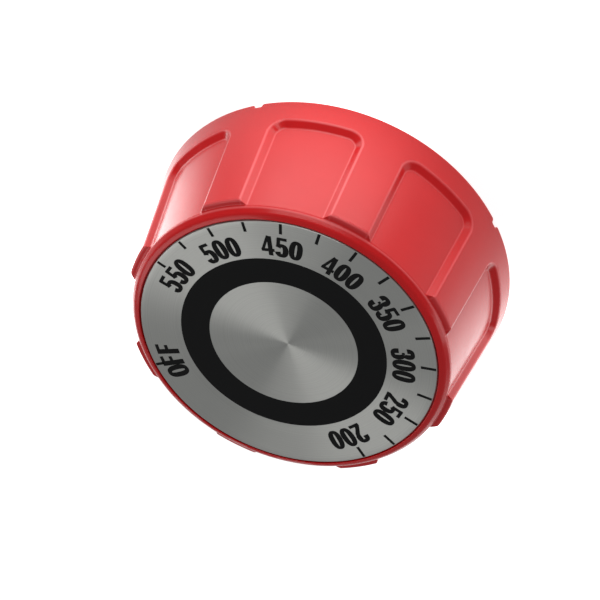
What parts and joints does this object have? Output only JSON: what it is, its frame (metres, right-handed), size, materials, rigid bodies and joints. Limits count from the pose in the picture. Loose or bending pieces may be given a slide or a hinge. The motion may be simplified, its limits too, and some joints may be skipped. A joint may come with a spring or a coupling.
{
  "type": "oven thermostat control knob",
  "caption": "Round grip knob with sunk side panels and a flat metal dial plate, hollow behind, with a D-shaped stem bore and a spring leaf clip.",
  "frame": {"origin": "middle of the back rim's plane, on the knob's turning axis", "axes": "+Z along the turning axis, out of the dial; +Y towards the flat of the D-shaped bore; one grip land on +X"},
  "size_m": [0.0618, 0.0618, 0.0253],
  "materials": {
    "red_plastic": "moulded gloss",
    "spun_aluminium": "spun",
    "adhesive_film": "matt",
    "plated_steel": "bright plated",
    "spring_steel": "satin"
  },
  "bodies": {
    "knob": {"knob_body": "red_plastic", "dial_plate": "spun_aluminium", "dial_adhesive": "adhesive_film", "hub_band": "plated_steel"},
    "clip": {"shaft_clip": "spring_steel"}
  },
  "joints": [
    {"name": "clip_flex", "type": "hinge", "parent": "knob", "child": "clip", "pos_m": [0, 0.00172, 0.0138], "axis": [1, 0, 0], "range_deg": [0, 3], "stiffness_Nm_per_rad": 1.2}
  ]
}
